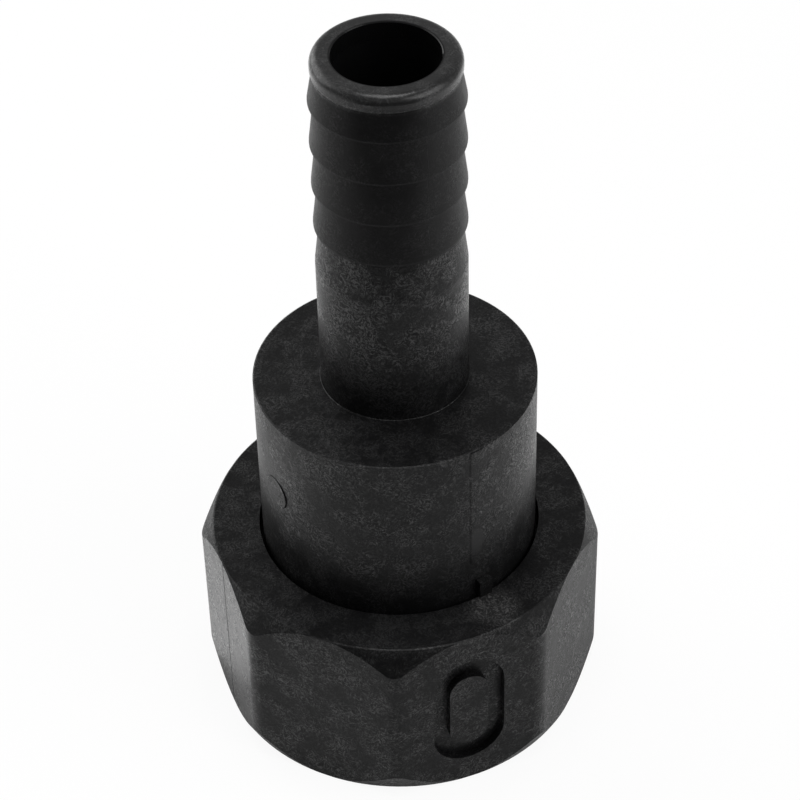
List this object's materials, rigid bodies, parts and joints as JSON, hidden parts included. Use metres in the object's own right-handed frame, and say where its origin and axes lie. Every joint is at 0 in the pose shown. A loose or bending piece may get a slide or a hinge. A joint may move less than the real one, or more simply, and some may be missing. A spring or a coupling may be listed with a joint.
{
  "type": "hose connector",
  "caption": "Barbed hose tail with a wide hollow collar, held captive in an octagonal swivel union nut with a flat sealing washer.",
  "frame": {"origin": "centre of the union nut's open end, in the plane it stands on", "axes": "+Z along the connector's axis from the nut to the spigot's mouth, -Y through one corner of the octagon"},
  "size_m": [0.0732, 0.0732, 0.1383],
  "materials": {
    "tail_plastic": "satin, glass-fibre filled",
    "nut_plastic": "satin, glass-fibre filled",
    "washer_rubber": "matte"
  },
  "bodies": {
    "tail": {"hose_tail": "tail_plastic", "sealing_washer": "washer_rubber"},
    "nut": {"union_nut": "nut_plastic"}
  },
  "joints": [
    {"name": "nut_spin", "type": "hinge", "parent": "tail", "child": "nut", "pos_m": [0, 0, 0.0335], "axis": [0, 0, 1], "continuous": true}
  ]
}
